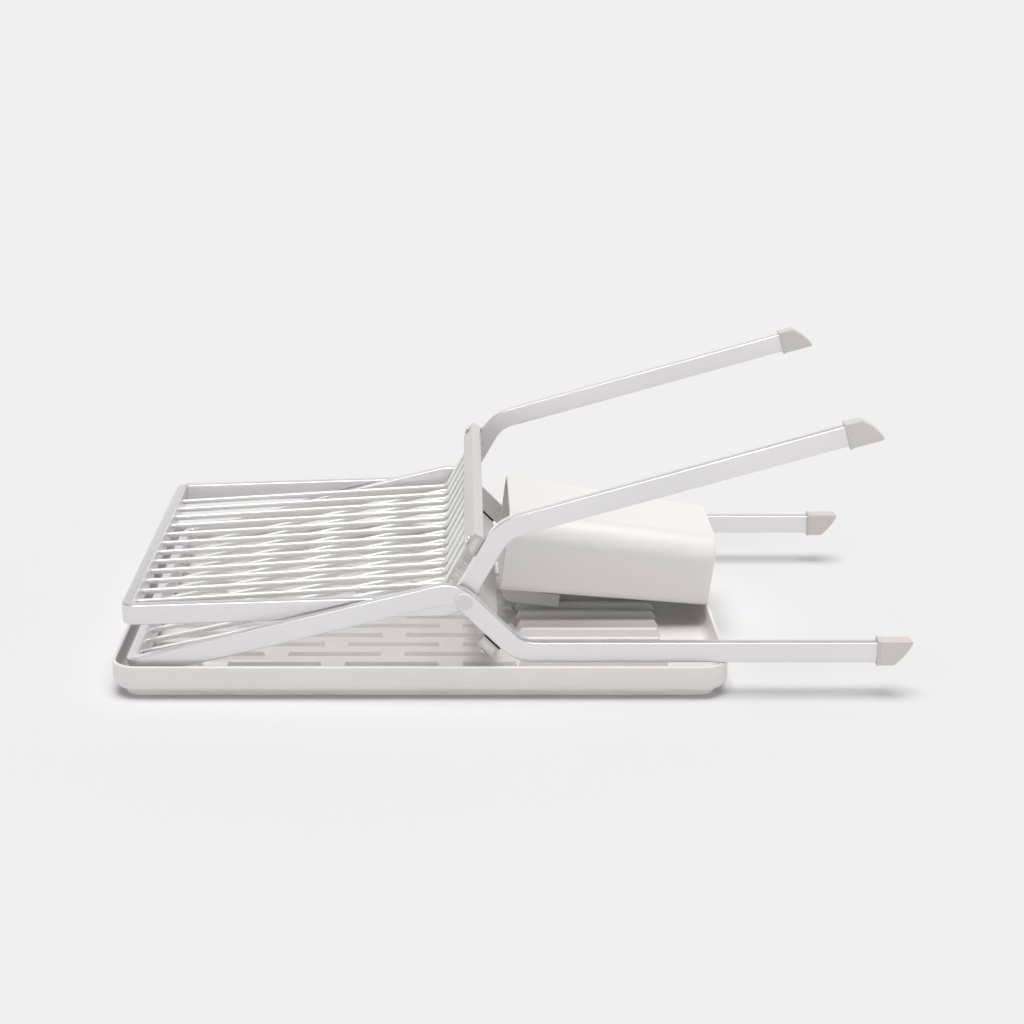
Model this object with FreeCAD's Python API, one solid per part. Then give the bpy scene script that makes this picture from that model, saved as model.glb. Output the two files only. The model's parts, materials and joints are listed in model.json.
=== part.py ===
"""Folding dish and bottle drying rack on its drip tray, with a utensil cup.

The rack is two mirrored U-shaped bar frames joined at one pivot axis. Each frame carries
twelve bent wires and one crossbar. It lies folded on the tray: the lower frame's legs rest
on the tray's rim, the upper frame lies above it, and the cup lies between the legs.

Millimetres, +X towards the feet, +Y to the back, +Z up. The origin is on the resting
surface, under the middle of the whole object.
"""
import FreeCAD, Part

import math
import os

Vector = FreeCAD.Vector

# Bars of the two frames
BAR_HEIGHT = 13.6
BAR_THICKNESS = 7.6
BAR_EDGE = 0.9
FRAME_WIDTH = 302.2
SIDE_GAP = 3.2
SIDE_STEP = BAR_THICKNESS + SIDE_GAP
CORNER_RADIUS = 10.5
INNER_CORNER_RADIUS = 3.2

# Shape of a frame seen from the side, measured along the centre line of its bar
BED_LENGTH = 228.0
PIVOT_BEND = 58.4
LEG_BEND = 44.3
PIVOT_TO_BEND = 8.3
LINK_LENGTH = 60.2
LOWER_LEG_LENGTH = 260.0
UPPER_LEG_LENGTH = 254.8
PIVOT_BEND_RADIUS = 20.0
LEG_BEND_RADIUS = 26.0

# How the folded rack lies
LEG_TO_BED = PIVOT_BEND - LEG_BEND
FOLD_ANGLE = 15.9
REST_GAP = 0.3

# Wires
WIRE_COUNT = 12
WIRE_PITCH = (FRAME_WIDTH - 2 * BAR_THICKNESS) / (WIRE_COUNT + 1)
WIRE_DIAMETER = 4.0
WIRE_BEND_RADIUS = 8.0
WIRE_DEPTH = 4.0
WIRE_CLEARANCE = 0.05
WIRE_RISE_AT_END = -0.5
WIRE_RISE_AT_BEND = -1.2
WIRE_OFFSET_AT_BEND = 10.0
WIRE_OFFSET_AT_CROSSBAR = 11.3

# Crossbars, their plugs, screws and dark pads
CROSSBAR_WIDTH = 14.0
CROSSBAR_THICKNESS = 7.2
CROSSBAR_WALL = 1.3
CROSSBAR_EDGE = 0.6
CROSSBAR_GAP = 1.2
CROSSBAR_DISTANCE = 34.0
PLUG_LENGTH = 9.0
PLUG_RECESS = 0.8
SCREW_DIAMETER = 3.0
SCREW_HEAD = 6.0
SCREW_HEAD_HEIGHT = 1.6
SCREW_BITE = 5.0
PAD_INSET = 0.4
WASHER_DIAMETER = 5.6
WASHER_HEIGHT = 0.7
VENT_DIAMETER = 1.8
VENT_DEPTH = 1.0

# Pivot
PIN_DIAMETER = 6.0
PIN_CLEARANCE = 0.05
PIN_HEAD = 10.0
PIN_HEAD_HEIGHT = 1.4
CAP_DIAMETER = 11.5
CAP_HEIGHT = 2.2
RUNNING_GAP = 0.2

# Foot caps
FOOT_LENGTH = 23.8
FOOT_SHORT_SIDE = 11.2
FOOT_HEIGHT = 17.2
FOOT_WALL = 1.3
FOOT_POCKET = 10.0
FOOT_TIP_RADIUS = 1.6
FOOT_BULGE = 1.5
FOOT_EDGE = 1.1
LIP_LENGTH = 1.4
LIP_RISE = 0.35

# Drip tray and its base ring
TRAY_LENGTH = 410.0
TRAY_WIDTH = 328.6
TRAY_HEIGHT = 23.4
TRAY_LEFT_OF_PIVOT = 234.0
TRAY_CORNER = 19.0
TRAY_WALL = 2.4
TRAY_FLOOR = 3.0
TRAY_BELLY_RADIUS = 8.0
RIM_EDGE = 1.1
RING_HEIGHT = 4.5
RING_INSET = 9.0
RING_WIDTH = 7.0
RIB_PITCH = 19.4
RIB_Y_SHIFT = -0.5
RIB_WIDTH = 4.2
RIB_SIDE_SLOPE = 0.25
RIB_END_SLOPE = 0.6
LOW_RIB_HEIGHT = 2.8
LOW_RIB_LENGTH = 61.0
LOW_RIB_PITCH = 80.0
LOW_RIB_END = 35.0
LOW_RIB_START = -212.0
LOW_RIB_PHASE = -18.5
TALL_RIB_HEIGHT = 5.4
TALL_RIB_START = 41.0
TALL_RIB_END = 136.5
RIB_ROWS = 7

# Utensil cup, lying on its broad side
CUP_LENGTH = 149.2
CUP_MOUTH = (121.0, 56.0)
CUP_BASE = (101.0, 49.5)
CUP_TOP_CORNER = 17.0
CUP_LOW_CORNER = 5.0
CUP_END_EDGE = 3.0
CUP_WALL = 2.2
CUP_TILT = 7.0
CUP_MOUTH_X = 29.2
CUP_CENTRE_Y = 8.0
HOOK_LENGTH = 43.0
HOOK_WIDTH = 44.0
HOOK_DEPTH = 19.9
HOOK_CHEEK = 9.6
HOOK_WALL = 2.6
HOOK_INSET = 3.0
HOOK_RADIUS = 9.0

HALF_BAR = BAR_HEIGHT / 2
BACK = Vector(0, 1, 0)


def polar(length, degrees):
    """A vector in the X-Z plane."""
    angle = math.radians(degrees)
    return Vector(length * math.cos(angle), 0, length * math.sin(angle))


def left_of(direction):
    """The unit normal on the left of a direction in the X-Z plane."""
    return Vector(-direction.z, 0, direction.x)


def offset_route(points, radius_list, offset):
    """Edges of a bent centre line moved sideways by an offset, left being positive."""
    edges = []
    start = None
    count = len(points)
    for index in range(count - 1):
        along = (points[index + 1] - points[index]).normalize()
        if start is None:
            start = points[0] + left_of(along) * offset
        if index == count - 2:
            edges.append(Part.LineSegment(start, points[-1] + left_of(along) * offset).toShape())
            break
        ahead = (points[index + 2] - points[index + 1]).normalize()
        corner = points[index + 1]
        turn = math.atan2(along.x * ahead.z - along.z * ahead.x, along.dot(ahead))
        radius = radius_list[index]
        reach = radius * math.tan(abs(turn) / 2)
        side = math.copysign(1.0, turn)
        centre = corner - along * reach + left_of(along) * (side * radius)
        entry = corner - along * reach + left_of(along) * offset
        leave = corner + ahead * reach + left_of(ahead) * offset
        middle = centre + (corner - centre).normalize() * (radius - side * offset)
        edges.append(Part.LineSegment(start, entry).toShape())
        edges.append(Part.Arc(entry, middle, leave).toShape())
        start = leave
    return edges


def rounded_plan(x_low, x_high, y_half, radius, z_low, height):
    """A block whose corners are rounded in plan."""
    block = Part.makeBox(x_high - x_low, 2 * y_half, height, Vector(x_low, -y_half, z_low))
    upright = [edge for edge in block.Edges if abs(edge.tangentAt(edge.FirstParameter).z) > 0.99]
    return block.makeFillet(radius, upright)


def centre_line(leg_length):
    """Corner points of the bar's centre line, with the bed level and the pivot at zero."""
    vertex = polar(-PIVOT_TO_BEND, PIVOT_BEND)
    bed_end = Vector(-BED_LENGTH, 0, vertex.z)
    leg_start = vertex + polar(LINK_LENGTH, PIVOT_BEND)
    leg_end = leg_start + polar(leg_length, LEG_TO_BED)
    return [bed_end, vertex, leg_start, leg_end]


def link_point(distance, offset):
    """A point beside the link, by its distance from the pivot and its offset from the bar."""
    along = polar(1, PIVOT_BEND)
    return along * distance + left_of(along) * offset


def tilted_box(centre, along_degrees, length, thickness, width):
    """A box centred on a point, turned in the X-Z plane, as wide as given along Y."""
    box = Part.makeBox(length, width, thickness, Vector(-length / 2, -width / 2, -thickness / 2))
    box.rotate(Vector(0, 0, 0), Vector(0, -1, 0), along_degrees)
    box.translate(centre)
    return box


def round_long_edges(solid, radius, along):
    """Fillets the edges of a solid that run along one direction."""
    picked = []
    for edge in solid.Edges:
        if abs(edge.tangentAt(edge.FirstParameter).dot(along)) > 0.999:
            picked.append(edge)
    return solid.makeFillet(radius, picked)


def wire_positions():
    first = -WIRE_PITCH * (WIRE_COUNT - 1) / 2
    return [first + WIRE_PITCH * index for index in range(WIRE_COUNT)]


def wire_route():
    """Corner points of one wire: end bar, bend beside the pivot, crossbar."""
    bar_axis = polar(-PIVOT_TO_BEND, PIVOT_BEND).z
    start = Vector(-BED_LENGTH + BAR_THICKNESS - WIRE_DEPTH, 0, bar_axis + WIRE_RISE_AT_END)
    link = math.radians(PIVOT_BEND)
    bend_x = -(WIRE_OFFSET_AT_BEND - WIRE_RISE_AT_BEND * math.cos(link)) / math.sin(link)
    bend = Vector(bend_x, 0, WIRE_RISE_AT_BEND)
    edge_distance = CROSSBAR_DISTANCE - CROSSBAR_WIDTH / 2
    end = link_point(edge_distance + WIRE_DEPTH, WIRE_OFFSET_AT_CROSSBAR)
    return [start, bend, end]


def make_wire(diameter):
    """One wire in the plane Y = 0."""
    points = wire_route()
    route = Part.Wire(offset_route(points, [WIRE_BEND_RADIUS], 0))
    along = (points[1] - points[0]).normalize()
    section = Part.Wire(Part.makeCircle(diameter / 2, points[0], along))
    return route.makePipeShell([section], True, False)


def screw_axis():
    """Foot of a crossbar screw on the link's centre line, and its outward direction."""
    return link_point(CROSSBAR_DISTANCE, 0), left_of(polar(1, PIVOT_BEND))


def rod(base, direction, diameter, start, length):
    """A cylinder that begins at a distance along a direction from a base point."""
    return Part.makeCylinder(diameter / 2, length, base + direction * start, direction)


def side_places():
    """Middles of the two side bars along Y."""
    side = (FRAME_WIDTH - BAR_THICKNESS) / 2
    return [-side, side]


def make_frame(leg_length):
    """One U-shaped bar frame: two bent side bars joined by an end bar."""
    points = centre_line(leg_length)
    leg_direction = polar(1, LEG_TO_BED)
    points[-1] = points[-1] - leg_direction * (FOOT_LENGTH - FOOT_POCKET)
    radii = [PIVOT_BEND_RADIUS, LEG_BEND_RADIUS]
    upper_edges = offset_route(points, radii, HALF_BAR)
    lower_edges = offset_route(points, radii, -HALF_BAR)
    ends = [
        Part.LineSegment(upper_edges[0].Vertexes[0].Point, lower_edges[0].Vertexes[0].Point).toShape(),
        Part.LineSegment(upper_edges[-1].Vertexes[-1].Point, lower_edges[-1].Vertexes[-1].Point).toShape(),
    ]
    outline = Part.Wire(Part.__sortEdges__(upper_edges + lower_edges + ends))
    slab = Part.Face(outline).extrude(BACK * FRAME_WIDTH)
    slab.translate(BACK * (-FRAME_WIDTH / 2))
    x_high = 2 * leg_length
    outside = rounded_plan(-BED_LENGTH, x_high, FRAME_WIDTH / 2, CORNER_RADIUS, -leg_length, 2 * leg_length)
    inside = rounded_plan(-BED_LENGTH + BAR_THICKNESS, x_high + 1, FRAME_WIDTH / 2 - BAR_THICKNESS,
                          INNER_CORNER_RADIUS, -leg_length, 2 * leg_length)
    frame = slab.common(outside).cut(inside)
    leg_cut = points[-1] - leg_direction
    rounded = []
    for edge in frame.Edges:
        if (edge.CenterOfMass - leg_cut).dot(leg_direction) > 0.5:
            continue
        if abs(edge.tangentAt(edge.FirstParameter).y) > 0.999 and edge.Length < 2 * BAR_THICKNESS:
            continue
        if abs(edge.tangentAt(edge.FirstParameter).z) > 0.999 and edge.Length < 1.2 * BAR_HEIGHT:
            continue
        rounded.append(edge)
    frame = frame.makeFillet(BAR_EDGE, rounded)

    drills = []
    pin_hole = PIN_DIAMETER / 2 + PIN_CLEARANCE
    drills.append(Part.makeCylinder(pin_hole, FRAME_WIDTH + 2, Vector(0, -FRAME_WIDTH / 2 - 1, 0), BACK))
    bore = make_wire(WIRE_DIAMETER + 2 * WIRE_CLEARANCE)
    for place in wire_positions():
        hole = bore.copy()
        hole.translate(BACK * place)
        drills.append(hole)
    foot, outward = screw_axis()
    for place in side_places():
        drills.append(rod(foot + BACK * place, outward, SCREW_DIAMETER, HALF_BAR - SCREW_BITE, SCREW_BITE + 1))
        inner_face = math.copysign(abs(place) - BAR_THICKNESS / 2, place)
        vent = Vector(foot.x, inner_face, foot.z) + left_of(outward) * (VENT_DIAMETER * 2)
        drills.append(Part.makeCylinder(VENT_DIAMETER / 2, VENT_DEPTH, vent, BACK * math.copysign(1, place)))
    return frame.cut(drills)


def crossbar_centre():
    return link_point(CROSSBAR_DISTANCE, HALF_BAR + CROSSBAR_GAP + CROSSBAR_THICKNESS / 2)


def make_crossbar():
    """A rectangular tube with twelve wire holes in its narrow side and a screw hole at each end."""
    centre = crossbar_centre()
    outer = tilted_box(centre, PIVOT_BEND, CROSSBAR_WIDTH, CROSSBAR_THICKNESS, FRAME_WIDTH)
    outer = round_long_edges(outer, CROSSBAR_EDGE, BACK)
    inner = tilted_box(centre, PIVOT_BEND, CROSSBAR_WIDTH - 2 * CROSSBAR_WALL,
                       CROSSBAR_THICKNESS - 2 * CROSSBAR_WALL, FRAME_WIDTH + 2)
    drills = [inner]
    bore = make_wire(WIRE_DIAMETER + 2 * WIRE_CLEARANCE)
    for place in wire_positions():
        hole = bore.copy()
        hole.translate(BACK * place)
        drills.append(hole)
    foot, outward = screw_axis()
    for place in side_places():
        drills.append(rod(foot + BACK * place, outward, SCREW_DIAMETER, HALF_BAR, 2 * BAR_HEIGHT))
    return outer.cut(drills)


def make_plugs():
    """The two plastic plugs set a little way into a crossbar's ends."""
    foot, outward = screw_axis()
    plugs = []
    for place in side_places():
        depth = (FRAME_WIDTH - PLUG_LENGTH) / 2 - PLUG_RECESS
        middle = crossbar_centre() + BACK * math.copysign(depth, place)
        plug = tilted_box(middle, PIVOT_BEND, CROSSBAR_WIDTH - 2 * CROSSBAR_WALL,
                          CROSSBAR_THICKNESS - 2 * CROSSBAR_WALL, PLUG_LENGTH)
        plugs.append(plug.cut(rod(foot + BACK * place, outward, SCREW_DIAMETER, HALF_BAR, 2 * BAR_HEIGHT)))
    return Part.makeCompound(plugs)


def make_screws():
    """The two domed screws that hold a crossbar to its frame."""
    foot, outward = screw_axis()
    seat = HALF_BAR + CROSSBAR_GAP + CROSSBAR_THICKNESS + WASHER_HEIGHT
    screws = []
    for place in side_places():
        base = foot + BACK * place
        shank = rod(base, outward, SCREW_DIAMETER, HALF_BAR - SCREW_BITE, seat - HALF_BAR + SCREW_BITE)
        head = rod(base, outward, SCREW_HEAD, seat, SCREW_HEAD_HEIGHT)
        rim = [edge for edge in head.Edges
               if abs((edge.CenterOfMass - base).dot(outward) - seat - SCREW_HEAD_HEIGHT) < 0.01]
        head = head.makeFillet(SCREW_HEAD_HEIGHT * 0.7, rim)
        screws.append(head.fuse(shank).removeSplitter())
    return Part.makeCompound(screws)


def make_pads():
    """Dark pads between a crossbar and its frame, and the thin washers under the screw heads."""
    foot, outward = screw_axis()
    pads = []
    for place in side_places():
        base = foot + BACK * place
        shank = rod(base, outward, SCREW_DIAMETER, 0, 2 * BAR_HEIGHT)
        middle = link_point(CROSSBAR_DISTANCE, HALF_BAR + CROSSBAR_GAP / 2) + BACK * place
        pad = tilted_box(middle, PIVOT_BEND, CROSSBAR_WIDTH - 2 * PAD_INSET, CROSSBAR_GAP,
                         BAR_THICKNESS - 2 * PAD_INSET)
        pads.append(pad.cut(shank))
        seat = HALF_BAR + CROSSBAR_GAP + CROSSBAR_THICKNESS
        pads.append(rod(base, outward, WASHER_DIAMETER, seat, WASHER_HEIGHT).cut(shank))
    return Part.makeCompound(pads)


def foot_outline():
    """Side outline of a foot cap with its slanted, slightly bulging end face."""
    half = FOOT_HEIGHT / 2
    short = -FOOT_LENGTH + FOOT_SHORT_SIDE
    mouth_low = Vector(-FOOT_LENGTH, 0, -half)
    mouth_high = Vector(-FOOT_LENGTH, 0, half)
    tip = Vector(0, 0, -half)
    heel = Vector(short, 0, half)
    chord = heel - tip
    bulge = tip + chord * 0.5 - left_of(chord.normalize()) * FOOT_BULGE
    edges = [
        Part.LineSegment(mouth_low, tip).toShape(),
        Part.Arc(tip, bulge, heel).toShape(),
        Part.LineSegment(heel, mouth_high).toShape(),
        Part.LineSegment(mouth_high, mouth_low).toShape(),
    ]
    return Part.Wire(edges)


def make_foot(place, leg_length):
    """A plastic cap on the end of a leg, in line with the side bar at one place along Y."""
    depth = BAR_THICKNESS + 2 * FOOT_WALL
    body = Part.Face(foot_outline()).extrude(BACK * depth)
    body.translate(BACK * (-depth / 2))
    corners = []
    edges = []
    for edge in body.Edges:
        middle = edge.CenterOfMass
        if middle.x < -FOOT_LENGTH + 0.1:
            continue
        if abs(middle.y) < 0.01:
            corners.append(edge)
    body = body.makeFillet(FOOT_TIP_RADIUS, corners)
    for edge in body.Edges:
        if edge.CenterOfMass.x > -FOOT_LENGTH + 0.1 and abs(abs(edge.CenterOfMass.y) - depth / 2) < 0.01:
            edges.append(edge)
    body = body.makeFillet(FOOT_EDGE, edges)
    lip = Part.makeBox(LIP_LENGTH, depth + 2 * LIP_RISE, FOOT_HEIGHT + 2 * LIP_RISE,
                       Vector(-FOOT_LENGTH, -depth / 2 - LIP_RISE, -FOOT_HEIGHT / 2 - LIP_RISE))
    lip = round_long_edges(lip, 1.0, Vector(1, 0, 0))
    pocket = Part.makeBox(FOOT_POCKET + 1, BAR_THICKNESS, BAR_HEIGHT,
                          Vector(-FOOT_LENGTH - 1, -BAR_THICKNESS / 2, -HALF_BAR))
    pocket = round_long_edges(pocket, BAR_EDGE, Vector(1, 0, 0))
    foot = body.fuse(lip).cut(pocket)
    foot.rotate(Vector(0, 0, 0), Vector(0, -1, 0), LEG_TO_BED)
    foot.translate(centre_line(leg_length)[-1] + BACK * place)
    return foot


def frame_nodes(name, leg_length, aside):
    """All pieces that turn with one frame, in the frame's own level position, moved aside along Y."""
    nodes = {}
    nodes[name + "_frame_bar"] = make_frame(leg_length)
    nodes[name + "_crossbar"] = make_crossbar()
    nodes[name + "_crossbar_plugs"] = make_plugs()
    nodes[name + "_crossbar_screws"] = make_screws()
    nodes[name + "_crossbar_pads"] = make_pads()
    wire = make_wire(WIRE_DIAMETER)
    for index, place in enumerate(wire_positions()):
        copy = wire.copy()
        copy.translate(BACK * place)
        nodes["%s_wire_%02d" % (name, index + 1)] = copy
    front, back = side_places()
    nodes[name + "_foot_front"] = make_foot(front, leg_length)
    nodes[name + "_foot_back"] = make_foot(back, leg_length)
    for shape in nodes.values():
        shape.translate(BACK * aside)
    return nodes


def make_pivot(side):
    """Pin, cap and spacer washer of one pivot; side is -1 at the front and 1 at the back."""
    outward = BACK * side
    outer_face = (FRAME_WIDTH + SIDE_STEP) / 2
    inner_face = (FRAME_WIDTH - SIDE_STEP) / 2 - BAR_THICKNESS
    middle = Vector(0, 0, 0)
    head_start = inner_face - RUNNING_GAP - PIN_HEAD_HEIGHT
    pin_end = outer_face + RUNNING_GAP + CAP_HEIGHT / 2
    head = rod(middle, outward, PIN_HEAD, head_start, PIN_HEAD_HEIGHT)
    shank = rod(middle, outward, PIN_DIAMETER, inner_face - RUNNING_GAP, pin_end - inner_face + RUNNING_GAP)
    pin = head.fuse(shank).removeSplitter()
    cap = rod(middle, outward, CAP_DIAMETER, outer_face + RUNNING_GAP, CAP_HEIGHT)
    face = [edge for edge in cap.Edges
            if abs(abs(edge.CenterOfMass.y) - outer_face - RUNNING_GAP - CAP_HEIGHT) < 0.01]
    cap = cap.makeFillet(0.8, face).cut(rod(middle, outward, PIN_DIAMETER, 0, pin_end))
    spacer_start = inner_face + BAR_THICKNESS + RUNNING_GAP
    spacer_length = SIDE_GAP - 2 * RUNNING_GAP
    spacer = rod(middle, outward, PIN_HEAD, spacer_start, spacer_length)
    spacer = spacer.cut(rod(middle, outward, PIN_DIAMETER, 0, pin_end))
    return pin, cap, spacer


def make_rib(x_low, x_high, y_centre, floor, height):
    """A floor rib with sloping ends and slightly sloping sides."""
    half = RIB_WIDTH / 2
    slope = height * RIB_SIDE_SLOPE
    reach = height * RIB_END_SLOPE
    low = [
        Vector(x_low - reach, y_centre - half - slope, floor),
        Vector(x_high + reach, y_centre - half - slope, floor),
        Vector(x_high + reach, y_centre + half + slope, floor),
        Vector(x_low - reach, y_centre + half + slope, floor),
    ]
    high = [
        Vector(x_low, y_centre - half, floor + height),
        Vector(x_high, y_centre - half, floor + height),
        Vector(x_high, y_centre + half, floor + height),
        Vector(x_low, y_centre + half, floor + height),
    ]
    return Part.makeLoft([Part.makePolygon(low + low[:1]), Part.makePolygon(high + high[:1])], True, True)


def tray_ribs(floor):
    """Low staggered ribs on the left of the tray and long taller ribs on the right."""
    ribs = []
    for row in range(-RIB_ROWS, RIB_ROWS + 1):
        y_centre = row * RIB_PITCH + RIB_Y_SHIFT
        right = LOW_RIB_PHASE + LOW_RIB_PITCH
        if row % 2:
            right = right - LOW_RIB_PITCH / 2
        while right > LOW_RIB_START + RIB_WIDTH:
            x_high = min(right, LOW_RIB_END)
            x_low = max(right - LOW_RIB_LENGTH, LOW_RIB_START)
            if x_high - x_low > 2 * RIB_WIDTH:
                ribs.append(make_rib(x_low, x_high, y_centre, floor, LOW_RIB_HEIGHT))
            right = right - LOW_RIB_PITCH
        ribs.append(make_rib(TALL_RIB_START, TALL_RIB_END, y_centre, floor, TALL_RIB_HEIGHT))
    return ribs


def make_tray():
    """The drip tray: a rounded shallow dish with a ribbed floor."""
    x_low = -TRAY_LEFT_OF_PIVOT
    x_high = x_low + TRAY_LENGTH
    half = TRAY_WIDTH / 2
    shell = rounded_plan(x_low, x_high, half, TRAY_CORNER, RING_HEIGHT, TRAY_HEIGHT - RING_HEIGHT)
    belly = [edge for edge in shell.Edges if abs(edge.CenterOfMass.z - RING_HEIGHT) < 0.01]
    shell = shell.makeFillet(TRAY_BELLY_RADIUS, belly)
    floor = RING_HEIGHT + TRAY_FLOOR
    well = rounded_plan(x_low + TRAY_WALL, x_high - TRAY_WALL, half - TRAY_WALL, TRAY_CORNER - TRAY_WALL,
                        floor, TRAY_HEIGHT)
    cove = [edge for edge in well.Edges if abs(edge.CenterOfMass.z - floor) < 0.01]
    well = well.makeFillet(TRAY_BELLY_RADIUS - TRAY_WALL, cove)
    tray = shell.cut(well)
    rim = [edge for edge in tray.Edges if abs(edge.CenterOfMass.z - TRAY_HEIGHT) < 0.01]
    tray = tray.makeFillet(RIM_EDGE, rim)
    return tray.fuse(tray_ribs(floor)).removeSplitter()


def make_ring():
    """The non-slip ring under the tray."""
    x_low = -TRAY_LEFT_OF_PIVOT + RING_INSET
    x_high = x_low + TRAY_LENGTH - 2 * RING_INSET
    half = TRAY_WIDTH / 2 - RING_INSET
    radius = TRAY_CORNER - RING_INSET
    outer = rounded_plan(x_low, x_high, half, radius, 0, RING_HEIGHT)
    inner = rounded_plan(x_low + RING_WIDTH, x_high - RING_WIDTH, half - RING_WIDTH,
                         radius - RING_WIDTH, -1, RING_HEIGHT + 2)
    ring = outer.cut(inner)
    lower = [edge for edge in ring.Edges if abs(edge.CenterOfMass.z) < 0.01]
    return ring.makeFillet(0.8, lower)


def cup_section(x, size, inset):
    """Section across the cup's axis: well rounded on top, flatter corners on the hook's side."""
    width = size[0] - 2 * inset
    height = size[1] - 2 * inset
    plate = Part.makeBox(1, width, height, Vector(x, -width / 2, -height / 2))
    along = [edge for edge in plate.Edges if abs(edge.tangentAt(edge.FirstParameter).x) > 0.99]
    low = [edge for edge in along if edge.CenterOfMass.z < 0]
    plate = plate.makeFillet(CUP_LOW_CORNER - inset, low)
    along = [edge for edge in plate.Edges if abs(edge.Length - 1) < 0.01]
    high = [edge for edge in along if edge.CenterOfMass.z > height / 2 - 0.01]
    plate = plate.makeFillet(CUP_TOP_CORNER - inset, high)
    face = min(plate.Faces, key=lambda item: item.CenterOfMass.x)
    return face.OuterWire


def make_hook():
    """The hook under the cup's broad side: a web near the mouth and a flap with two cheeks."""
    half = HOOK_WIDTH / 2
    top = -CUP_MOUTH[1] / 2 + CUP_WALL / 2
    low = -CUP_MOUTH[1] / 2 - HOOK_DEPTH
    block = Part.makeBox(HOOK_LENGTH, HOOK_WIDTH, top - low, Vector(HOOK_INSET, -half, low))
    nose = [edge for edge in block.Edges
            if abs(edge.CenterOfMass.x - HOOK_INSET) < 0.01 and abs(edge.CenterOfMass.z - low) < 0.01]
    block = block.makeFillet(HOOK_RADIUS, nose)
    slot = Part.makeBox(HOOK_LENGTH, HOOK_WIDTH + 2, HOOK_DEPTH - HOOK_CHEEK,
                        Vector(HOOK_INSET + HOOK_WALL, -half - 1, low + HOOK_CHEEK))
    trough = Part.makeBox(HOOK_LENGTH, HOOK_WIDTH - 2 * HOOK_WALL, HOOK_DEPTH - HOOK_WALL,
                          Vector(HOOK_INSET + HOOK_RADIUS, -half + HOOK_WALL, low + HOOK_WALL))
    return block.cut([slot, trough])


def make_cup():
    """Tapered utensil cup along +X from its mouth at zero, before it is laid down."""
    outer = Part.makeLoft([cup_section(0, CUP_MOUTH, 0), cup_section(CUP_LENGTH, CUP_BASE, 0)], True)
    base = [edge for edge in outer.Edges if abs(edge.CenterOfMass.x - CUP_LENGTH) < 0.01]
    outer = outer.makeFillet(CUP_END_EDGE, base)
    depth = CUP_LENGTH - 1.2 * CUP_WALL
    share = depth / CUP_LENGTH
    deep = [CUP_MOUTH[axis] + (CUP_BASE[axis] - CUP_MOUTH[axis]) * share for axis in (0, 1)]
    inner = Part.makeLoft([cup_section(0, CUP_MOUTH, CUP_WALL), cup_section(depth, deep, CUP_WALL)], True)
    opening = Part.Face(cup_section(0, CUP_MOUTH, CUP_WALL)).extrude(Vector(-1, 0, 0))
    cup = outer.fuse(make_hook().cut(inner)).cut([inner, opening])
    return cup.removeSplitter()


def pivot_height():
    """Height of the pivot when the lower frame's level legs lie on the tray's rim."""
    leg_start = centre_line(LOWER_LEG_LENGTH)[2]
    leg_down = leg_start.x * math.sin(math.radians(-LEG_TO_BED))
    leg_down = leg_down + leg_start.z * math.cos(math.radians(-LEG_TO_BED))
    return TRAY_HEIGHT + REST_GAP + HALF_BAR + leg_down


def settle(shape, turn, mirrored, pivot):
    """Turns a frame piece about the pivot into its folded place."""
    placed = shape.copy()
    if mirrored:
        placed = placed.mirror(Vector(0, 0, 0), Vector(0, 0, 1))
    placed.rotate(Vector(0, 0, 0), Vector(0, -1, 0), turn)
    placed.translate(pivot)
    return placed


def build():
    pivot = Vector(0, 0, pivot_height())
    nodes = {}
    for name, shape in frame_nodes("lower", LOWER_LEG_LENGTH, -SIDE_STEP / 2).items():
        nodes[name] = settle(shape, LEG_TO_BED, True, pivot)
    for name, shape in frame_nodes("upper", UPPER_LEG_LENGTH, SIDE_STEP / 2).items():
        nodes[name] = settle(shape, FOLD_ANGLE - LEG_TO_BED, False, pivot)
    for side, place in ((-1, "front"), (1, "back")):
        for label, shape in zip(("pivot_pin", "pivot_cap", "pivot_spacer"), make_pivot(side)):
            nodes[label + "_" + place] = settle(shape, 0, False, pivot)
    nodes["drip_tray"] = make_tray()
    nodes["tray_base_ring"] = make_ring()
    cup = make_cup()
    cup.rotate(Vector(0, 0, 0), Vector(0, 1, 0), CUP_TILT)
    low_edge = min(vertex.Z for vertex in cup.Vertexes)
    floor = RING_HEIGHT + TRAY_FLOOR + TALL_RIB_HEIGHT + REST_GAP
    cup.translate(Vector(CUP_MOUTH_X, CUP_CENTRE_Y, floor - low_edge))
    nodes["utensil_cup"] = cup
    return nodes, pivot


def centre_in_x(nodes, pivot):
    """Moves everything along X so that the middle of the whole object's box is at zero."""
    low = min(shape.BoundBox.XMin for shape in nodes.values())
    high = max(shape.BoundBox.XMax for shape in nodes.values())
    shift = Vector(-(low + high) / 2, 0, 0)
    for shape in nodes.values():
        shape.translate(shift)
    return pivot + shift


def main():
    os.makedirs("parts", exist_ok=True)
    nodes, pivot = build()
    pivot = centre_in_x(nodes, pivot)
    whole = FreeCAD.BoundBox()
    for name, shape in nodes.items():
        shape.exportStep(os.path.join("parts", name + ".step"))
        whole.add(shape.BoundBox)
    print("nodes", len(nodes), "pivot", round(pivot.x, 3), round(pivot.z, 3))
    print("box", [round(value, 2) for value in (whole.XMin, whole.YMin, whole.ZMin)],
          [round(value, 2) for value in (whole.XMax, whole.YMax, whole.ZMax)])


main()
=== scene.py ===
"""Looks of the folded bottle drying rack on its drip tray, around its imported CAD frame."""

import json
import math

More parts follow.
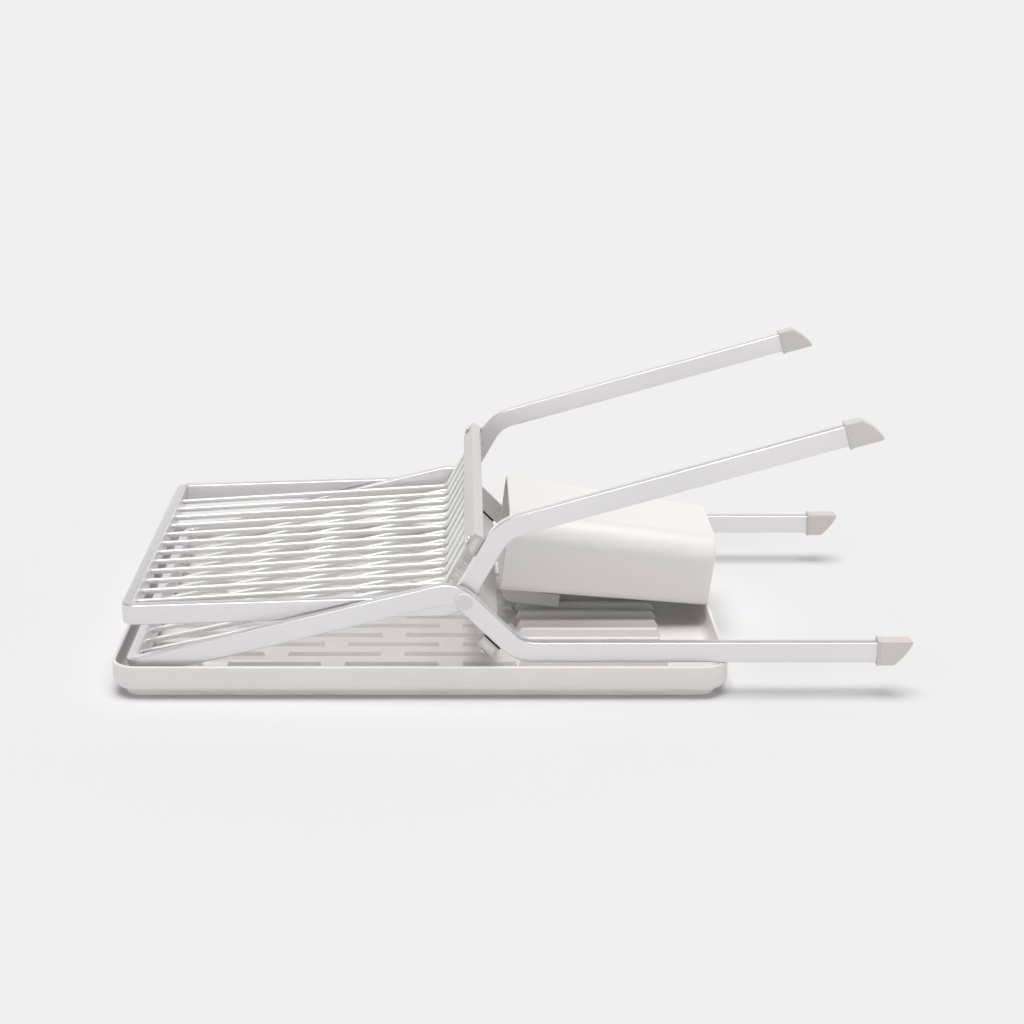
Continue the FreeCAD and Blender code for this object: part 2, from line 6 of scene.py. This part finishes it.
import bpy
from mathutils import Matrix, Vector


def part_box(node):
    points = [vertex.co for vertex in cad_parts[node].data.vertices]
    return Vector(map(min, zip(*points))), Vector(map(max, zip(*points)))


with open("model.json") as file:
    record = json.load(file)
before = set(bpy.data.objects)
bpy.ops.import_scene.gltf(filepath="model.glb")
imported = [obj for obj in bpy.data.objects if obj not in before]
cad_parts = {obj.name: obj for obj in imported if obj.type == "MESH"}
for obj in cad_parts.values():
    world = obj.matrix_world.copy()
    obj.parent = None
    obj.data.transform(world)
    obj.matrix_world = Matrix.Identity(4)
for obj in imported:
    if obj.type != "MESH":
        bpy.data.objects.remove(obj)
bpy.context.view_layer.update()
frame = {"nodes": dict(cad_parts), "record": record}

# The camera's place in metres, measured from the pivot axis on the rack's middle plane.
# Lens and sensor are in millimetres, and the reach is in metres.
CAMERA_OFFSET = Vector((-0.00105, -1.4585, 0.44404))
CAMERA_PITCH = math.radians(16.4)
CAMERA_LENS = 73.7
CAMERA_SENSOR = 36
CAMERA_SHIFT = 0.0488
CAMERA_REACH = 200

# The floor's side in metres, and the two tones that its grain varies between
FLOOR_SIZE = 60.0
FLOOR_DARK = (0.715, 0.715, 0.715)
FLOOR_LIGHT = (0.725, 0.725, 0.725)

# Height above the horizon, 0 to 1, and brightness there
SKY_LEVELS = ((0.0, 1.35), (0.30, 1.2), (0.42, 0.12), (0.80, 0.08), (1.0, 0.25))

SUN_DIRECTION = (0.0, 0.06, -1.0)
SUN_STRENGTH = 2.97
SUN_ANGLE = math.radians(46)
SUN_COLOUR = (1.0, 0.995, 0.988)

# Edges flatter than the angle are shaded smooth, once their split vertices are merged
SMOOTH_ANGLE = math.radians(32)
MERGE_DISTANCE = 0.000002


def new_material(name):
    """A node material with its shader, and the object coordinates that its textures use."""
    material = bpy.data.materials.new(name)
    material.use_nodes = True
    tree = material.node_tree
    shader = tree.nodes["Principled BSDF"]
    coordinates = tree.nodes.new("ShaderNodeTexCoord").outputs["Object"]
    return material, tree, shader, coordinates


def noise(tree, vector, scale, detail=4.0, roughness=0.55):
    """A noise value from 0 to 1, finer as the scale grows."""
    node = tree.nodes.new("ShaderNodeTexNoise")
    node.inputs["Scale"].default_value = scale
    node.inputs["Detail"].default_value = detail
    node.inputs["Roughness"].default_value = roughness
    tree.links.new(vector, node.inputs["Vector"])
    return node.outputs["Fac"]


def stretched(tree, vector, scale):
    """The coordinates scaled by a different amount along each axis."""
    node = tree.nodes.new("ShaderNodeMapping")
    node.inputs["Scale"].default_value = scale
    tree.links.new(vector, node.inputs["Vector"])
    return node.outputs["Vector"]


def spread(tree, value, low, high):
    """A 0 to 1 value, most of which lies in the middle, spread between two limits."""
    node = tree.nodes.new("ShaderNodeMapRange")
    node.inputs["From Min"].default_value = 0.3
    node.inputs["From Max"].default_value = 0.7
    node.inputs["To Min"].default_value = low
    node.inputs["To Max"].default_value = high
    tree.links.new(value, node.inputs["Value"])
    return node.outputs["Result"]


def blend_colours(tree, factor, first, second):
    """The first colour where the factor is 0, the second where it is 1."""
    node = tree.nodes.new("ShaderNodeMix")
    node.data_type = "RGBA"
    node.inputs["A"].default_value = (*first, 1)
    node.inputs["B"].default_value = (*second, 1)
    tree.links.new(factor, node.inputs["Factor"])
    return node.outputs["Result"]


def shade(colour, amount):
    """The colour made darker or paler by one amount."""
    return tuple(channel * amount for channel in colour)


def softened_edges(tree, radius):
    """The surface normal, turned smoothly over every edge within a small radius."""
    bevel = tree.nodes.new("ShaderNodeBevel")
    bevel.samples = 6
    bevel.inputs["Radius"].default_value = radius
    return bevel.outputs["Normal"]


def plain_normal(tree):
    """The surface normal as it is, for parts without edges."""
    return tree.nodes.new("ShaderNodeNewGeometry").outputs["Normal"]


def bumped(tree, shader, normal, layers):
    """Adds height layers of (value, depth in metres) to a normal."""
    for value, depth in layers:
        bump = tree.nodes.new("ShaderNodeBump")
        bump.inputs["Strength"].default_value = 1.0
        bump.inputs["Distance"].default_value = depth
        tree.links.new(value, bump.inputs["Height"])
        tree.links.new(normal, bump.inputs["Normal"])
        normal = bump.outputs["Normal"]
    tree.links.new(normal, shader.inputs["Normal"])


def pale_edge_mask(tree):
    """A mask of the outer edges, from the mesh's pointiness."""
    geometry = tree.nodes.new("ShaderNodeNewGeometry")
    ramp = tree.nodes.new("ShaderNodeMapRange")
    ramp.inputs["From Min"].default_value = 0.52
    ramp.inputs["From Max"].default_value = 0.62
    tree.links.new(geometry.outputs["Pointiness"], ramp.inputs["Value"])
    return ramp.outputs["Result"]


def painted_metal(name, colour, roughness, coat):
    """Powder-coated metal: fine orange peel, faint clouding and paler edges."""
    material, tree, shader, coordinates = new_material(name)
    cloud = noise(tree, coordinates, 14.0, 5.0)
    peel = noise(tree, coordinates, 900.0, 2.0)
    scuff = noise(tree, stretched(tree, coordinates, (60.0, 240.0, 240.0)), 6.0, 6.0, 0.7)
    base = blend_colours(tree, spread(tree, cloud, 0.0, 1.0), shade(colour, 0.975), shade(colour, 1.02))
    # The coat is paler at the convex edges, from the pointiness mask.
    edge = tree.nodes.new("ShaderNodeMix")
    edge.data_type = "RGBA"
    tree.links.new(pale_edge_mask(tree), edge.inputs["Factor"])
    tree.links.new(base, edge.inputs["A"])
    edge.inputs["B"].default_value = (*shade(colour, 1.06), 1)
    tree.links.new(edge.outputs["Result"], shader.inputs["Base Color"])
    tree.links.new(spread(tree, scuff, roughness - 0.05, roughness + 0.07), shader.inputs["Roughness"])
    shader.inputs["Coat Weight"].default_value = coat
    shader.inputs["Coat Roughness"].default_value = 0.22
    bumped(tree, shader, softened_edges(tree, 0.0005), [(peel, 0.00003), (cloud, 0.0002)])
    return material


def satin_metal(name, colour, roughness, metallic):
    """Bead-blasted and anodised metal: fine pits, a faint mottle and soft clouding."""
    material, tree, shader, coordinates = new_material(name)
    cloud = noise(tree, coordinates, 11.0, 5.0)
    pits = noise(tree, coordinates, 1600.0, 2.0)
    mottle = noise(tree, coordinates, 380.0, 4.0, 0.6)
    base = blend_colours(tree, spread(tree, cloud, 0.0, 1.0), shade(colour, 0.97), shade(colour, 1.02))
    tree.links.new(base, shader.inputs["Base Color"])
    tree.links.new(spread(tree, mottle, roughness - 0.02, roughness + 0.02), shader.inputs["Roughness"])
    shader.inputs["Metallic"].default_value = metallic
    bumped(tree, shader, softened_edges(tree, 0.0006), [(pits, 0.000006)])
    return material


def drawn_wire(name, colour, roughness):
    """Drawn wire under a thin satin coat: very fine marks and faint clouding."""
    material, tree, shader, coordinates = new_material(name)
    cloud = noise(tree, coordinates, 40.0, 5.0)
    marks = noise(tree, coordinates, 700.0, 2.0)
    base = blend_colours(tree, spread(tree, cloud, 0.0, 1.0), shade(colour, 0.97), shade(colour, 1.02))
    tree.links.new(base, shader.inputs["Base Color"])
    tree.links.new(spread(tree, marks, roughness - 0.03, roughness + 0.03), shader.inputs["Roughness"])
    shader.inputs["Metallic"].default_value = 0.35
    bumped(tree, shader, plain_normal(tree), [(marks, 0.000003)])
    return material


def moulded_plastic(name, colour, roughness, grain, edge_radius):
    """Moulded plastic: spark-eroded grain, faint flow clouding and small scratches."""
    material, tree, shader, coordinates = new_material(name)
    cloud = noise(tree, coordinates, 9.0, 4.0)
    fine = noise(tree, coordinates, 1500.0, 2.0)
    medium = noise(tree, coordinates, 420.0, 3.0)
    scratch = noise(tree, stretched(tree, coordinates, (30.0, 900.0, 900.0)), 1.0, 3.0, 0.7)
    base = blend_colours(tree, spread(tree, cloud, 0.0, 1.0), shade(colour, 0.97), shade(colour, 1.02))
    tree.links.new(base, shader.inputs["Base Color"])
    tree.links.new(spread(tree, scratch, roughness - 0.05, roughness + 0.06), shader.inputs["Roughness"])
    shader.inputs["IOR"].default_value = 1.46
    shader.inputs["Subsurface Weight"].default_value = 0.04
    shader.inputs["Subsurface Radius"].default_value = (0.004, 0.0035, 0.003)
    shader.inputs["Subsurface Scale"].default_value = 1.0
    bumped(tree, shader, softened_edges(tree, edge_radius), [(fine, grain), (medium, grain * 0.8)])
    return material


def brushed_steel(name, colour):
    """Small turned steel parts with fine circular tool marks."""
    material, tree, shader, coordinates = new_material(name)
    brush = noise(tree, stretched(tree, coordinates, (4000.0, 300.0, 4000.0)), 1.0, 4.0, 0.7)
    cloud = noise(tree, coordinates, 250.0, 3.0)
    base = blend_colours(tree, spread(tree, cloud, 0.0, 1.0), shade(colour, 0.88), shade(colour, 1.05))
    tree.links.new(base, shader.inputs["Base Color"])
    tree.links.new(spread(tree, brush, 0.24, 0.42), shader.inputs["Roughness"])
    shader.inputs["Metallic"].default_value = 1.0
    bumped(tree, shader, softened_edges(tree, 0.0003), [(brush, 0.00002)])
    return material


def rubber(name, colour):
    """Matte rubber with a fine grain and some dust."""
    material, tree, shader, coordinates = new_material(name)
    dust = noise(tree, coordinates, 35.0, 6.0, 0.65)
    grain = noise(tree, coordinates, 1200.0, 2.0)
    base = blend_colours(tree, spread(tree, dust, 0.0, 1.0), shade(colour, 0.92), shade(colour, 1.06))
    tree.links.new(base, shader.inputs["Base Color"])
    tree.links.new(spread(tree, dust, 0.66, 0.82), shader.inputs["Roughness"])
    shader.inputs["Sheen Weight"].default_value = 0.12
    bumped(tree, shader, softened_edges(tree, 0.0005), [(grain, 0.00006)])
    return material


def smooth_by_angle():
    """A modifier group that joins split vertices and shades the flatter edges smooth."""
    group = bpy.data.node_groups.new("smooth_by_angle", "GeometryNodeTree")
    group.interface.new_socket("Geometry", in_out="INPUT", socket_type="NodeSocketGeometry")
    group.interface.new_socket("Geometry", in_out="OUTPUT", socket_type="NodeSocketGeometry")
    entry = group.nodes.new("NodeGroupInput")
    leave = group.nodes.new("NodeGroupOutput")
    merge = group.nodes.new("GeometryNodeMergeByDistance")
    merge.inputs["Distance"].default_value = MERGE_DISTANCE
    faces = group.nodes.new("GeometryNodeSetShadeSmooth")
    edges = group.nodes.new("GeometryNodeSetShadeSmooth")
    edges.domain = "EDGE"
    angle = group.nodes.new("GeometryNodeInputMeshEdgeAngle")
    compare = group.nodes.new("FunctionNodeCompare")
    compare.operation = "GREATER_THAN"
    compare.inputs["B"].default_value = SMOOTH_ANGLE
    edges.inputs["Shade Smooth"].default_value = False
    link = group.links.new
    link(entry.outputs[0], merge.inputs["Geometry"])
    link(merge.outputs["Geometry"], faces.inputs["Geometry"])
    link(faces.outputs["Geometry"], edges.inputs["Geometry"])
    link(angle.outputs["Unsigned Angle"], compare.inputs["A"])
    link(compare.outputs["Result"], edges.inputs["Selection"])
    link(edges.outputs["Geometry"], leave.inputs[0])
    return group


def dress(name, material):
    """Gives a CAD node its material and its smooth shading."""
    node = frame["nodes"][name]
    node.data.materials.clear()
    node.data.materials.append(material)
    modifier = node.modifiers.new("smooth", "NODES")
    modifier.node_group = smooth_group


def add_floor():
    """A wide floor of pale paper with a faint grain."""
    bpy.ops.mesh.primitive_plane_add(size=FLOOR_SIZE, location=(0, FLOOR_SIZE / 3, 0))
    floor = bpy.context.object
    floor.name = "floor"
    material, tree, shader, coordinates = new_material("floor_paper")
    grain = noise(tree, coordinates, 700.0, 2.0)
    tint = blend_colours(tree, spread(tree, grain, 0, 1), FLOOR_DARK, FLOOR_LIGHT)
    tree.links.new(tint, shader.inputs["Base Color"])
    shader.inputs["Roughness"].default_value = 0.95
    shader.inputs["Specular IOR Level"].default_value = 0.1
    floor.data.materials.append(material)


def add_sky():
    """A soft sky, bright near the horizon and dim overhead, for the metal to mirror."""
    world = bpy.data.worlds.new("studio")
    bpy.context.scene.world = world
    world.use_nodes = True
    tree = world.node_tree
    position = tree.nodes.new("ShaderNodeTexCoord")
    split = tree.nodes.new("ShaderNodeSeparateXYZ")
    ramp = tree.nodes.new("ShaderNodeValToRGB")
    tree.links.new(position.outputs["Generated"], split.inputs["Vector"])
    tree.links.new(split.outputs["Z"], ramp.inputs["Fac"])
    tree.links.new(ramp.outputs["Color"], tree.nodes["Background"].inputs["Color"])
    for height, level in SKY_LEVELS[1:-1]:
        ramp.color_ramp.elements.new(height)
    for stop, (height, level) in zip(ramp.color_ramp.elements, SKY_LEVELS):
        stop.color = (level, level, level, 1)
    tree.nodes["Background"].inputs["Strength"].default_value = 1.0


def add_sun():
    """One wide soft light, almost straight overhead."""
    data = bpy.data.lights.new("overhead", "SUN")
    data.energy = SUN_STRENGTH
    data.angle = SUN_ANGLE
    data.color = SUN_COLOUR
    sun = bpy.data.objects.new("overhead", data)
    sun.rotation_euler = Vector(SUN_DIRECTION).to_track_quat("-Z", "Y").to_euler()
    bpy.context.scene.collection.objects.link(sun)


def add_camera():
    """The camera, placed from the axis that both frames turn about."""
    pivot_low, pivot_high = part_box("pivot_cap_front")
    pivot = Vector(((pivot_low.x + pivot_high.x) / 2, 0, (pivot_low.z + pivot_high.z) / 2))
    data = bpy.data.cameras.new("camera")
    data.lens = CAMERA_LENS
    data.sensor_width = CAMERA_SENSOR
    data.shift_x = CAMERA_SHIFT
    data.clip_end = CAMERA_REACH
    camera = bpy.data.objects.new("camera", data)
    camera.location = pivot + CAMERA_OFFSET
    camera.rotation_euler = (math.pi / 2 - CAMERA_PITCH, 0, 0)
    bpy.context.scene.collection.objects.link(camera)
    bpy.context.scene.camera = camera


smooth_group = smooth_by_angle()
finishes = {
    "bars": satin_metal("bar_aluminium", (0.80, 0.785, 0.80), 0.34, 0.9),
    "wires": drawn_wire("wire_steel", (0.80, 0.80, 0.785), 0.34),
    # Painted shade: the crossbars' warm grey coating is darkened further for the shade that the upper
    # link and cup cast on them.
    "crossbars": painted_metal("crossbar_coating_painted_shade", (0.535, 0.51, 0.505), 0.4, 0.1),
    "plugs": moulded_plastic("plug_plastic", (0.74, 0.73, 0.725), 0.45, 0.00002, 0.0003),
    # Partly a rubber gasket's own black and partly painted shadow: the pads are near black for the dark
    # shadowed gap between crossbar and frame.
    "pads": rubber("pad_rubber_painted_shadow", (0.02, 0.02, 0.02)),
    "feet": moulded_plastic("foot_plastic", (0.64, 0.6, 0.585), 0.5, 0.00004, 0.0006),
    "pivot_caps": moulded_plastic("cap_plastic", (0.735, 0.705, 0.695), 0.45, 0.00002, 0.0005),
    # Painted light: the upper crossbar's pads get a lit grey copy of the pad rubber, where no shadowed
    # gap shows.
    "pads_lit_copy": rubber("pad_rubber_lit_grey_copy", (0.42, 0.41, 0.40)),
    "hardware": brushed_steel("hardware_steel", (0.80, 0.80, 0.79)),
    "tray": moulded_plastic("tray_plastic", (0.77, 0.735, 0.73), 0.46, 0.00003, 0.0005),
    # Painted light: the ring's rubber is set paler than its own grey, lifting the shade under the tray's
    # belly.
    "ring": rubber("ring_rubber_painted_light", (0.82, 0.805, 0.795)),
    "cup": moulded_plastic("cup_plastic", (0.775, 0.75, 0.735), 0.38, 0.00002, 0.0008),
}
own_finish = {
    "pivot_cap_front": "pivot_caps",
    "pivot_cap_back": "pivot_caps",
    # The upper crossbar's pads take the lit grey copy of the pad rubber, as painted light.
    "upper_crossbar_pads": "pads_lit_copy",
}
for part in frame["record"]["subparts"]:
    dress(part["node"], finishes[own_finish.get(part["node"], part["material_slot"])])

add_floor()
add_sky()
add_sun()
add_camera()
bpy.context.scene.view_settings.view_transform = "Standard"
